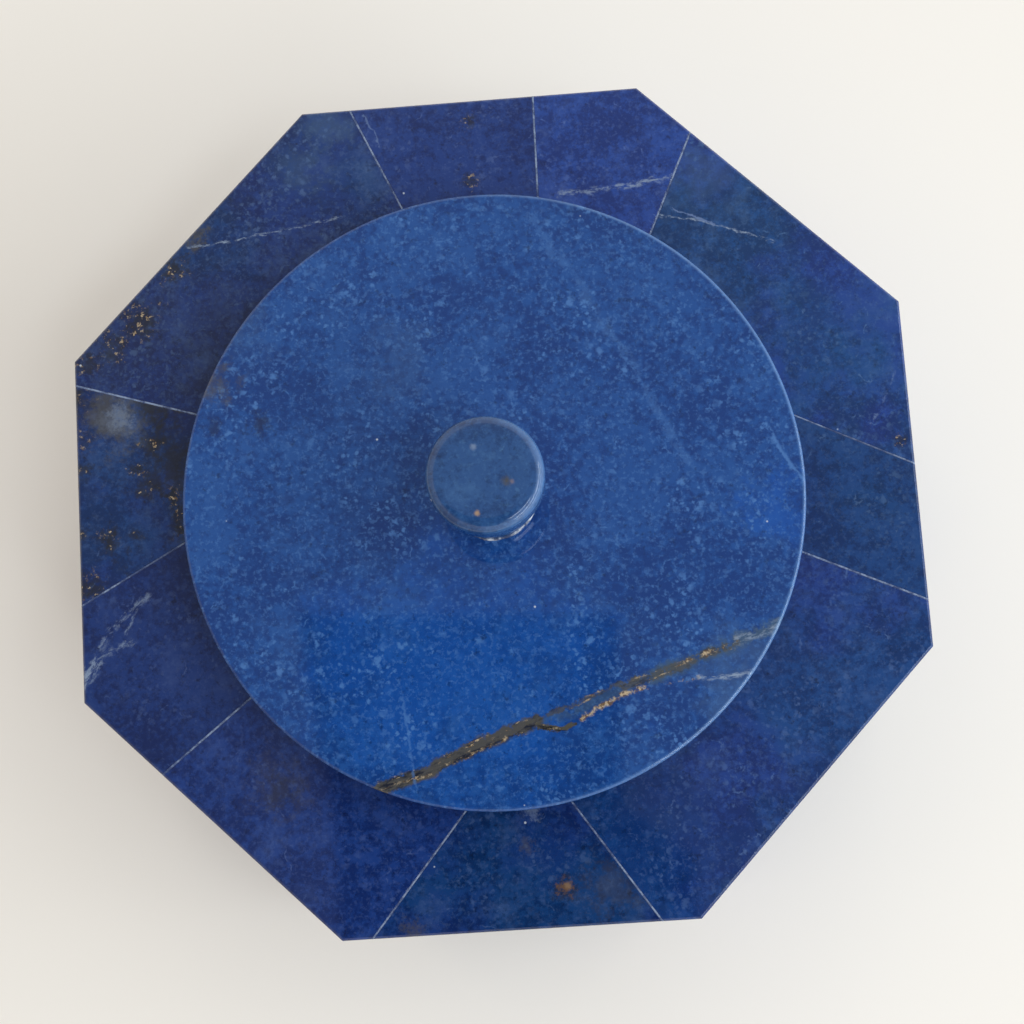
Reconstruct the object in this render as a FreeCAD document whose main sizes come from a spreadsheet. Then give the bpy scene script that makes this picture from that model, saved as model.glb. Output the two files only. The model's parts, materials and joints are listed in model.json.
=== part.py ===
"""Octagonal lapis-veneered wooden box with a round, lift-off lid and a turned knob.

Millimetres, +Z up. The origin is the centre of the underside, and two opposite flats of the octagon face +X and -X.
From the bottom up: a felt sheet, a floor board, eight mitred wall staves and a bored top board make the wooden
carcass. Two stone slabs cover each face, and ten slabs cover the top around the round mouth. White cement fills every
joint between slabs. The lid is a stone disc with a wooden plug under it that drops into the mouth, and a knob that is
held by a brass pin.
"""

import FreeCAD, Part
import math
import os

import Sketcher

SIDES = 8
SECTOR = 360 / SIDES  # degrees of bearing per flat
HALF_SECTOR = SECTOR / 2

DIMENSIONS = {
    "across_flats": 116,
    "body_height": 47,
    "slab": 3.5,  # thickness of every veneer slab
    "joint_width": 0.25,  # cement line between two slabs
    "arris": 0.3,  # eased outer edge of the top
    "felt": 1,
    "felt_inset": 2,
    "floor_board": 6,
    "top_board": 6,
    "stave": 7,
    "mouth_radius": 36,
    "seam_root_radius": 35,  # where each top seam's inner end is measured, just inside the mouth
    "lid_radius": 42.2,
    "lid_thickness": 5.3,
    "lid_arris": 0.4,
    "plug_clearance": 0.6,
    "plug_depth": 5,
    "plug_lead": 0.6,
    "knob_height": 17.7,
    "knob_foot_radius": 6.1,
    "knob_cap_radius": 7.6,
    "knob_cap_edge": 4.4,  # straight edge of the cap, before its rim is rounded
    "knob_waist_sweep": 22,  # radius of the hollow curve from foot to cap
    "knob_rim_radius": 1.4,
    "pin_radius": 1.5,
    "pin_play": 0.1,
    "pin_in_plug": 3,
    "pin_in_knob": 9,
    "knob_cement_width": 0.5,
    "knob_cement_height": 0.35,
}

# The seams between the top slabs, anticlockwise: bearing of the outer end, bearing of the inner end.
TOP_SEAMS = [
    (1, 23.5),
    (58.5, 54),
    (81, 75.5),
    (106.5, 101),
    (160.5, 159),
    (190.5, 177.5),
    (216, 215),
    (251, 269),
    (288, 275.5),
    (343, 349),
]

# The upright seam on each face, anticlockwise from +X: distance from the face's middle at its foot and at its head.
FACE_SEAMS = [(-5, -2), (7, 4), (-9, -10.5), (3, 6), (10, 8), (-4, -7), (6, 9.5), (-8, -5)]

# Heights and half widths that several pieces share.
APOTHEM = "dims.across_flats / 2"
CARCASS_APOTHEM = "(dims.across_flats / 2 - dims.slab)"
FLOOR_TOP = "(dims.felt + dims.floor_board)"
CARCASS_TOP = "(dims.body_height - dims.slab)"
TOP_BOARD_FOOT = "(dims.body_height - dims.slab - dims.top_board)"
PLUG_RADIUS = "(dims.mouth_radius - dims.plug_clearance)"
LID_TOP = "(dims.body_height + dims.lid_thickness)"
HALF_JOINT = "dims.joint_width / 2"
PIN_HOLE_RADIUS = "(dims.pin_radius + dims.pin_play)"

doc = FreeCAD.newDocument("lapis_box")
sheet = doc.addObject("Spreadsheet::Sheet", "dims")


def fill_sheet():
    """One row per driving dimension: its name in column A and its value in column B, under an alias of that name."""
    cells = dict(DIMENSIONS)
    for number, (outer, root) in enumerate(TOP_SEAMS, 1):
        cells[f"top_seam_{number}_outer"] = outer
        cells[f"top_seam_{number}_root"] = root
    for number, (foot, head) in enumerate(FACE_SEAMS, 1):
        cells[f"face_seam_{number}_foot"] = foot
        cells[f"face_seam_{number}_head"] = head
    for row, (name, number) in enumerate(cells.items(), 1):
        sheet.set(f"A{row}", name)
        sheet.set(f"B{row}", str(number))
        sheet.setAlias(f"B{row}", name)
    doc.recompute()


def value(expression):
    """What an expression over the sheet is worth now."""
    return float(sheet.evalExpression(expression))


# Building blocks


def new_body(label, lift="0", turn=0.0):
    """An empty body, raised by an expression and turned about +Z by an angle in degrees."""
    body = doc.addObject("PartDesign::Body", label)
    body.Label = label
    body.AllowCompound = True
    body.Placement.Rotation = FreeCAD.Rotation(FreeCAD.Vector(0, 0, 1), turn)
    body.setExpression("Placement.Base.z", lift)
    return body


def new_sketch(body, role, offset=None):
    """A sketch on one of the body's own origin planes, moved along the plane's normal by an expression."""
    sketch = body.newObject("Sketcher::SketchObject", body.Name + "_sketch")
    plane = next(feature for feature in body.Origin.OriginFeatures if feature.Role == role)
    sketch.AttachmentSupport = [(plane, "")]
    sketch.MapMode = "FlatFace"
    if offset:
        sketch.setExpression("AttachmentOffset.Base.z", offset)
    return sketch


def pin_down(sketch, geometry, end, place):
    """Ties one end of a geometry to a place, given as a pair of expressions."""
    origin, start, y_axis, x_axis = -1, 1, -2, -1
    for kind, expression, axis in zip(("DistanceX", "DistanceY"), place, (y_axis, x_axis)):
        if abs(value(expression)) < 1e-9:
            sketch.addConstraint(Sketcher.Constraint("PointOnObject", geometry, end, axis))
            continue
        constraint = Sketcher.Constraint(kind, origin, start, geometry, end, value(expression))
        number = sketch.addConstraint(constraint)
        sketch.setExpression(f"Constraints[{number}]", expression)


def draw_polygon(sketch, corners):
    """A closed outline of straight edges through the corners, each a pair of expressions."""
    points = [FreeCAD.Vector(value(x), value(y), 0) for x, y in corners]
    count = len(points)
    for i in range(count):
        sketch.addGeometry(Part.LineSegment(points[i], points[(i + 1) % count]))
    for i in range(count):
        sketch.addConstraint(Sketcher.Constraint("Coincident", i, 2, (i + 1) % count, 1))
        pin_down(sketch, i, 1, corners[i])


def draw_circle(sketch, radius):
    """A circle about the sketch's origin, with an expression for its radius."""
    circle = Part.Circle(FreeCAD.Vector(), FreeCAD.Vector(0, 0, 1), value(radius))
    geometry = sketch.addGeometry(circle)
    sketch.addConstraint(Sketcher.Constraint("Coincident", geometry, 3, -1, 1))
    number = sketch.addConstraint(Sketcher.Constraint("Radius", geometry, value(radius)))
    sketch.setExpression(f"Constraints[{number}]", radius)


def pad(body, sketch, length):
    feature = body.newObject("PartDesign::Pad", body.Name + "_pad")
    feature.Profile = sketch
    feature.setExpression("Length", length)
    return feature


def cut_through(body, sketch):
    """Removes the sketch's area from the whole body, on both sides of the sketch's plane."""
    feature = body.newObject("PartDesign::Pocket", body.Name + "_cut")
    feature.Profile = sketch
    feature.Type = "ThroughAll"
    feature.SideType = "Symmetric"
    return feature


def cut_blind(body, sketch, depth, upwards=False):
    feature = body.newObject("PartDesign::Pocket", body.Name + "_recess")
    feature.Profile = sketch
    feature.Reversed = upwards
    feature.setExpression("Length", depth)
    return feature


def dress(body, kind, size_name, size, wanted):
    """A fillet or chamfer on the edges of the body's tip that the test picks out."""
    doc.recompute()
    base = body.Tip
    edges = [f"Edge{i}" for i, edge in enumerate(base.Shape.Edges, 1) if wanted(edge)]
    feature = body.newObject(kind, body.Name + "_dressed")
    feature.Base = (base, edges)
    feature.setExpression(size_name, size)
    return feature


def is_ring(radius, height):
    """A test for the whole circular edge of that radius about the axis at that height."""

    def matches(edge):
        box = edge.BoundBox
        flat = box.ZLength < 1e-6 and abs(box.ZMin - height) < 1e-6
        return flat and abs(box.XMax - radius) < 1e-6 and abs(box.XMin + radius) < 1e-6

    return matches


def octagon(label, apothem, foot, height):
    """A plain octagonal board."""
    board = doc.addObject("Part::Prism", label)
    board.Label = label
    board.Polygon = SIDES
    board.Placement.Rotation = FreeCAD.Rotation(FreeCAD.Vector(0, 0, 1), HALF_SECTOR)
    board.setExpression("Circumradius", f"{apothem} / cos({HALF_SECTOR})")
    board.setExpression("Height", height)
    board.setExpression("Placement.Base.z", foot)
    return board


def cylinder(label, radius, foot, height):
    shape = doc.addObject("Part::Cylinder", label)
    shape.Label = label
    shape.setExpression("Radius", radius)
    shape.setExpression("Height", height)
    shape.setExpression("Placement.Base.z", foot)
    return shape


def cut(label, base, tool):
    shape = doc.addObject("Part::Cut", label)
    shape.Label = label
    shape.Base = base
    shape.Tool = tool
    return shape


def group(label, members):
    """Several separate solids of one kind, kept as one sub-part."""
    shape = doc.addObject("Part::Compound", label)
    shape.Label = label
    shape.Links = members
    return shape


# The carcass


def make_felt():
    return octagon("base_felt", f"({APOTHEM} - dims.felt_inset)", "0", "dims.felt")


def make_floor_board():
    return octagon("floor_board", CARCASS_APOTHEM, "dims.felt", "dims.floor_board")


def make_top_board():
    board = octagon("top_board_blank", CARCASS_APOTHEM, TOP_BOARD_FOOT, "dims.top_board")
    bore = cylinder("top_board_bore", "dims.mouth_radius", TOP_BOARD_FOOT, "dims.top_board")
    return cut("top_board", board, bore)


def make_stave(number):
    """One wall stave, mitred at both ends, standing on the floor board under the top board."""
    outer = CARCASS_APOTHEM
    inner = f"({CARCASS_APOTHEM} - dims.stave)"
    body = new_body(f"wall_stave_{number}", FLOOR_TOP, (number - 1) * SECTOR)
    sketch = new_sketch(body, "XY_Plane")
    draw_polygon(sketch, mitred_plan(inner, outer, "0"))
    pad(body, sketch, f"{TOP_BOARD_FOOT} - {FLOOR_TOP}")
    return body


def mitred_plan(inner, outer, setback):
    """Plan of a board along the +X flat, mitred at both corners and held back from each mitre by a distance."""
    slope = f"tan({HALF_SECTOR})"
    back = f"{setback} / cos({HALF_SECTOR})"
    return [
        (inner, f"-({inner} * {slope} - {back})"),
        (outer, f"-({outer} * {slope} - {back})"),
        (outer, f"{outer} * {slope} - {back}"),
        (inner, f"{inner} * {slope} - {back}"),
    ]


# The side veneer


def make_side_slab(number, part):
    """The left or right slab of one face, seen from outside with +Z up. A leaning seam divides the two."""
    body = new_body(f"side_slab_{number}_{part}", "dims.felt", (number - 1) * SECTOR)
    plan = new_sketch(body, "XY_Plane")
    draw_polygon(plan, mitred_plan(CARCASS_APOTHEM, f"({APOTHEM})", HALF_JOINT))
    height = f"{CARCASS_TOP} - dims.felt"
    pad(body, plan, height)
    side = 1 if part == "left" else -1  # the left slab keeps what lies at lower Y in the face's own frame
    foot = f"dims.face_seam_{number}_foot - {side} * {HALF_JOINT}"
    head = f"dims.face_seam_{number}_head - {side} * {HALF_JOINT}"
    far = f"{side} * dims.across_flats"
    elevation = new_sketch(body, "YZ_Plane")
    draw_polygon(elevation, [(foot, "0"), (head, height), (far, height), (far, "0")])
    cut_through(body, elevation)
    return body


def make_face_cement(number):
    """The cement line in the leaning seam of one face."""
    body = new_body(f"face_cement_{number}", "dims.felt", (number - 1) * SECTOR)
    sketch = new_sketch(body, "YZ_Plane", CARCASS_APOTHEM)
    foot = f"dims.face_seam_{number}_foot"
    head = f"dims.face_seam_{number}_head"
    height = f"{CARCASS_TOP} - dims.felt"
    corners = [
        (f"{foot} - {HALF_JOINT}", "0"),
        (f"{foot} + {HALF_JOINT}", "0"),
        (f"{head} + {HALF_JOINT}", height),
        (f"{head} - {HALF_JOINT}", height),
    ]
    draw_polygon(sketch, corners)
    pad(body, sketch, "dims.slab")
    return body


def make_corner_cement(number):
    """The cement in the mitre between two faces, a thin bent strip as tall as the slabs."""
    body = new_body(f"corner_cement_{number}", "dims.felt", (number - 0.5) * SECTOR)
    sketch = new_sketch(body, "XY_Plane")
    inner = f"{CARCASS_APOTHEM} / cos({HALF_SECTOR})"
    outer = f"{APOTHEM} / cos({HALF_SECTOR})"
    drop = f"{HALF_JOINT} * tan({HALF_SECTOR})"
    corners = [
        (inner, "0"),
        (f"{inner} - {drop}", f"-{HALF_JOINT}"),
        (f"{outer} - {drop}", f"-{HALF_JOINT}"),
        (outer, "0"),
        (f"{outer} - {drop}", HALF_JOINT),
        (f"{inner} - {drop}", HALF_JOINT),
    ]
    draw_polygon(sketch, corners)
    pad(body, sketch, f"{CARCASS_TOP} - dims.felt")
    return body


# The top veneer


def nearest_flat(bearing):
    """Bearing of the middle of the flat that a bearing meets."""
    return SECTOR * round(bearing / SECTOR)


def at_bearing(radius, bearing):
    return f"{radius} * cos({bearing})", f"{radius} * sin({bearing})"


def seam_end(number, end, side):
    """A corner of a slab at one end of a seam. side is 1 or -1 for the slab after or before it, or 0 for its middle."""
    cell = f"dims.top_seam_{number}_{end}"
    if end == "root":
        turn = f"{side} * {HALF_JOINT} / dims.seam_root_radius * {math.degrees(1):.6f}"
        return at_bearing("dims.seam_root_radius", f"({cell} + {turn})")
    flat = nearest_flat(value(cell))
    turn = f"{side} * {HALF_JOINT} / ({APOTHEM}) * {math.degrees(1):.6f}"
    bearing = f"({cell} + {turn})"
    return at_bearing(f"{APOTHEM} / cos({bearing} - {flat})", bearing)


def octagon_corners_between(first, last):
    """The octagon's corners passed on the way anticlockwise from one bearing to another."""
    last = last if last > first else last + 360
    bearings = [HALF_SECTOR + SECTOR * i for i in range(2 * SIDES)]
    radius = f"{APOTHEM} / cos({HALF_SECTOR})"
    return [at_bearing(radius, bearing) for bearing in bearings if first < bearing < last]


def cut_mouth(body):
    sketch = new_sketch(body, "XY_Plane")
    draw_circle(sketch, "dims.mouth_radius")
    cut_through(body, sketch)


def is_outer_top_edge(edge):
    """True for the edges around the outside of the top face."""
    middle = edge.CenterOfMass
    flat = math.radians(nearest_flat(math.degrees(math.atan2(middle.y, middle.x))))
    reach = middle.x * math.cos(flat) + middle.y * math.sin(flat)
    on_top = edge.BoundBox.ZMin > value("dims.slab") - 1e-6
    return on_top and abs(reach - value(APOTHEM)) < 1e-3


def make_top_slab(number):
    """The slab from one seam to the next, anticlockwise, with its inner end rounded to the mouth."""
    after = number % len(TOP_SEAMS) + 1
    body = new_body(f"top_slab_{number:02d}", CARCASS_TOP)
    sketch = new_sketch(body, "XY_Plane")
    corners = [
        seam_end(number, "root", 1),
        seam_end(number, "outer", 1),
        *octagon_corners_between(TOP_SEAMS[number - 1][0], TOP_SEAMS[after - 1][0]),
        seam_end(after, "outer", -1),
        seam_end(after, "root", -1),
    ]
    draw_polygon(sketch, corners)
    pad(body, sketch, "dims.slab")
    cut_mouth(body)
    dress(body, "PartDesign::Chamfer", "Size", "dims.arris", is_outer_top_edge)
    return body


def make_top_cement(number):
    body = new_body(f"top_cement_{number:02d}", CARCASS_TOP)
    sketch = new_sketch(body, "XY_Plane")
    corners = [
        seam_end(number, "root", -1),
        seam_end(number, "outer", -1),
        seam_end(number, "outer", 1),
        seam_end(number, "root", 1),
    ]
    draw_polygon(sketch, corners)
    pad(body, sketch, "dims.slab")
    cut_mouth(body)
    dress(body, "PartDesign::Chamfer", "Size", "dims.arris", is_outer_top_edge)
    return body


# The lid


def make_lid_disc():
    """The stone disc, with both outer edges eased and a hole for the pin."""
    body = new_body("lid_disc", "dims.body_height")
    sketch = new_sketch(body, "XY_Plane")
    draw_circle(sketch, "dims.lid_radius")
    draw_circle(sketch, PIN_HOLE_RADIUS)
    pad(body, sketch, "dims.lid_thickness")
    rings = [is_ring(value("dims.lid_radius"), z) for z in (0, value("dims.lid_thickness"))]
    dress(body, "PartDesign::Chamfer", "Size", "dims.lid_arris", lambda edge: any(ring(edge) for ring in rings))
    return body


def make_lid_plug():
    """The wooden disc under the lid that keeps it centred in the mouth."""
    body = new_body("lid_plug", "dims.body_height - dims.plug_depth")
    sketch = new_sketch(body, "XY_Plane")
    draw_circle(sketch, PLUG_RADIUS)
    pad(body, sketch, "dims.plug_depth")
    recess = new_sketch(body, "XY_Plane", "dims.plug_depth")
    draw_circle(recess, PIN_HOLE_RADIUS)
    cut_blind(body, recess, "dims.pin_in_plug + dims.pin_play")
    dress(body, "PartDesign::Chamfer", "Size", "dims.plug_lead", is_ring(value(PLUG_RADIUS), 0))
    return body


def make_knob():
    """The turned knob: a foot, a hollow waist that flares to the cap, and a rounded rim."""
    body = new_body("lid_knob", LID_TOP)
    sketch = new_sketch(body, "XZ_Plane")
    cap_foot = "dims.knob_height - dims.knob_cap_edge"
    places = [
        ("0", "0"),
        ("dims.knob_foot_radius", "0"),
        ("dims.knob_cap_radius", cap_foot),
        ("dims.knob_cap_radius", "dims.knob_height"),
        ("0", "dims.knob_height"),
    ]
    points = [FreeCAD.Vector(value(x), value(y), 0) for x, y in places]
    foot, cap = points[1], points[2]
    chord = cap - foot
    radius = value("dims.knob_waist_sweep")
    sag = radius - math.sqrt(radius**2 - (chord.Length / 2) ** 2)
    inward = FreeCAD.Vector(-chord.y, chord.x, 0).normalize()
    waist = Part.Arc(foot, (foot + cap) / 2 + inward * sag, cap)
    lines = [(0, 1), (2, 3), (3, 4), (4, 0)]
    for start, end in lines:
        sketch.addGeometry(Part.LineSegment(points[start], points[end]))
    arc = sketch.addGeometry(waist)
    for first, second in ((1, 2), (2, 3), (3, 0)):
        sketch.addConstraint(Sketcher.Constraint("Coincident", first, 2, second, 1))
    arc_start_is_foot = sketch.getPoint(arc, 1).distanceToPoint(foot) < 1e-6
    foot_end, cap_end = (1, 2) if arc_start_is_foot else (2, 1)
    sketch.addConstraint(Sketcher.Constraint("Coincident", arc, foot_end, 0, 2))
    sketch.addConstraint(Sketcher.Constraint("Coincident", arc, cap_end, 1, 1))
    for geometry, end, place in ((0, 1, 0), (0, 2, 1), (1, 1, 2), (1, 2, 3), (3, 1, 4)):
        if place == 0:
            sketch.addConstraint(Sketcher.Constraint("Coincident", geometry, end, -1, 1))
        else:
            pin_down(sketch, geometry, end, places[place])
    number = sketch.addConstraint(Sketcher.Constraint("Radius", arc, radius))
    sketch.setExpression(f"Constraints[{number}]", "dims.knob_waist_sweep")
    turned = body.newObject("PartDesign::Revolution", "knob_turned")
    turned.Profile = sketch
    turned.ReferenceAxis = (sketch, ["V_Axis"])
    turned.Angle = 360
    rim = is_ring(value("dims.knob_cap_radius"), value("dims.knob_height"))
    dress(body, "PartDesign::Fillet", "Radius", "dims.knob_rim_radius", rim)
    recess = new_sketch(body, "XY_Plane")
    draw_circle(recess, PIN_HOLE_RADIUS)
    cut_blind(body, recess, "dims.pin_in_knob + dims.pin_play", upwards=True)
    return body


def make_knob_pin():
    foot = "dims.body_height - dims.pin_in_plug"
    return cylinder("knob_pin", "dims.pin_radius", foot, "dims.pin_in_plug + dims.lid_thickness + dims.pin_in_knob")


def make_knob_cement():
    """The bead of cement that was squeezed out round the knob's foot."""
    bead = doc.addObject("Part::Cone", "knob_cement_bead")
    bead.setExpression("Radius1", "dims.knob_foot_radius + dims.knob_cement_width")
    bead.setExpression("Radius2", "dims.knob_foot_radius + dims.knob_cement_width / 4")
    bead.setExpression("Height", "dims.knob_cement_height")
    bead.setExpression("Placement.Base.z", LID_TOP)
    foot = cylinder("knob_cement_bore", "dims.knob_foot_radius", LID_TOP, "dims.knob_cement_height")
    return cut("knob_cement", bead, foot)


def make_everything():
    """Every sub-part of the box, in order from the table up."""
    numbers = range(1, SIDES + 1)
    seams = range(1, len(TOP_SEAMS) + 1)
    made = [make_felt(), make_floor_board(), make_top_board()]
    made += [make_stave(number) for number in numbers]
    made += [make_side_slab(number, part) for number in numbers for part in ("left", "right")]
    made += [make_top_slab(number) for number in seams]
    made.append(group("face_seam_cement", [make_face_cement(number) for number in numbers]))
    made.append(group("corner_seam_cement", [make_corner_cement(number) for number in numbers]))
    made.append(group("top_seam_cement", [make_top_cement(number) for number in seams]))
    made += [make_lid_disc(), make_lid_plug(), make_knob(), make_knob_pin(), make_knob_cement()]
    doc.recompute()
    return made


def check(made):
    """Stops the build if any object failed to recompute or any sub-part isn't a valid, closed shape."""
    for each in doc.Objects:
        if {"Invalid", "Error"} & set(each.State):
            raise RuntimeError(f"{each.Label} failed: {each.State}")
    for each in made:
        shape = each.Shape
        if shape.isNull() or not shape.isValid() or not shape.Solids:
            raise RuntimeError(f"{each.Label} has no valid solid")
        volume = sum(solid.Volume for solid in shape.Solids)
        print(f"{each.Label}: {len(shape.Solids)} solid(s), {volume:.1f} mm3")


def write(made):
    os.makedirs("parts", exist_ok=True)
    for each in made:
        each.Shape.exportStep(f"parts/{each.Label}.step")


fill_sheet()
sub_parts = make_everything()
check(sub_parts)
write(sub_parts)
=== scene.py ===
import json
import math

import bmesh
import bpy
from mathutils import Matrix, Vector, noise


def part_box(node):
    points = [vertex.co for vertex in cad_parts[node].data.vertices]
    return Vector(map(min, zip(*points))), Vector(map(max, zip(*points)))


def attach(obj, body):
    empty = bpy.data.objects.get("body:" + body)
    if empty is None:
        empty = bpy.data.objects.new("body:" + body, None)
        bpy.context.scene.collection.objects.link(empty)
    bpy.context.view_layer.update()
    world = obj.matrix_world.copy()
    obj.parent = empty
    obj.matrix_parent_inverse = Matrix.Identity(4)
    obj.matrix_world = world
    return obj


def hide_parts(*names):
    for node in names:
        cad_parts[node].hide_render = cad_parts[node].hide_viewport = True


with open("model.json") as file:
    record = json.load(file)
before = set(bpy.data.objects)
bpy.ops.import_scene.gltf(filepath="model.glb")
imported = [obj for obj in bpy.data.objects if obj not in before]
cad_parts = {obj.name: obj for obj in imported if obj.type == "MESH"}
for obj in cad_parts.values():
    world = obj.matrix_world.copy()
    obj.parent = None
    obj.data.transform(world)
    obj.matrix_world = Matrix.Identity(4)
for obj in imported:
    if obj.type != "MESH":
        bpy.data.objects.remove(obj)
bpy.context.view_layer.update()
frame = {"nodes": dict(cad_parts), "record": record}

MM = 0.001
SIDES = 8
NODES = frame["nodes"]
SLOTS = {part["node"]: part["material_slot"] for part in frame["record"]["subparts"]}
BODIES = frame["record"]["behaviour"]["bodies"]
BODY_OF = {node: body for body, members in BODIES.items() for node in members}

# Colours, as linear red, green and blue. The ground of a tone runs from its deep blue to its body blue,
# and its flecks are dark or light.
TONES = {
    "navy": {
        "dark": (0.002, 0.008, 0.035),
        "deep": (0.003, 0.022, 0.100),
        "body": (0.007, 0.042, 0.165),
        "light": (0.055, 0.108, 0.265),
    },
    "violet": {
        "dark": (0.003, 0.007, 0.038),
        "deep": (0.005, 0.018, 0.105),
        "body": (0.010, 0.036, 0.180),
        "light": (0.055, 0.098, 0.270),
    },
    "teal": {
        "dark": (0.001, 0.010, 0.035),
        "deep": (0.003, 0.023, 0.088),
        "body": (0.006, 0.042, 0.152),
        "light": (0.050, 0.108, 0.240),
    },
    "mid": {
        "dark": (0.004, 0.020, 0.090),
        "deep": (0.006, 0.036, 0.175),
        "body": (0.012, 0.065, 0.256),
        "light": (0.060, 0.165, 0.430),
    },
    "slate": {
        "dark": (0.004, 0.020, 0.070),
        "deep": (0.011, 0.042, 0.145),
        "body": (0.020, 0.070, 0.215),
        "light": (0.060, 0.155, 0.340),
    },
}
ROYAL = (0.008, 0.078, 0.370)
DEEP_BLUE = (0.004, 0.024, 0.130)
# The next colour is a painted highlight, laid along the rims of the lid and the knob.
ARRIS_HIGHLIGHT_BLUE = (0.130, 0.290, 0.600)
CALCITE = (0.22, 0.29, 0.42)
HAIRLINE = (0.10, 0.16, 0.33)
GREY_ROCK = (0.045, 0.082, 0.125)
RUST = (0.110, 0.062, 0.036)
TAN = (0.340, 0.230, 0.150)
DARK_MATRIX = (0.014, 0.015, 0.018)
ORE = (0.066, 0.064, 0.056)
PYRITE_DARK = (0.150, 0.090, 0.045)
PYRITE = (0.520, 0.420, 0.290)
DUST = (0.55, 0.62, 0.72)
CEMENT = (0.20, 0.27, 0.43)
STAINED_CEMENT = (0.020, 0.045, 0.150)
WOOD_DARK = (0.130, 0.062, 0.028)
WOOD_LIGHT = (0.330, 0.190, 0.095)
FELT_DARK = (0.008, 0.030, 0.015)
FELT_LIGHT = (0.0272, 0.102, 0.051)
FELT_WORN = (0.05, 0.10, 0.06)
BRASS_DARK = (0.55, 0.38, 0.14)
BRASS_LIGHT = (0.80, 0.60, 0.28)
BEAD_DARK = (0.02, 0.04, 0.12)
BEAD_LIGHT = (0.50, 0.56, 0.66)
PATCH_COLOURS = {
    "royal": ROYAL,
    "deep": DEEP_BLUE,
    "violet": (0.0120, 0.0432, 0.2160),
    "teal": TONES["teal"]["light"],
    "dark": DARK_MATRIX,
    "ore": ORE,
    "pale": CALCITE,
    "rust": RUST,
    "tan": TAN,
}
BROAD_KINDS = ("royal", "deep", "violet")
VEIN_COLOURS = {"hairline": HAIRLINE, "calcite": CALCITE, "grey": GREY_ROCK, "mist": TONES["mid"]["light"]}

# How far a material's noise moves for each seed, in millimetres, so that no two pieces have the same pattern.
STONE_STEP = (31.7, 17.3, 7.9)
VEIN_STEP = (9.1, 5.7, 0)
WOOD_STEP = (13, 5, 3)


# Node helpers. Each returns the output socket that the next one reads.


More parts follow.
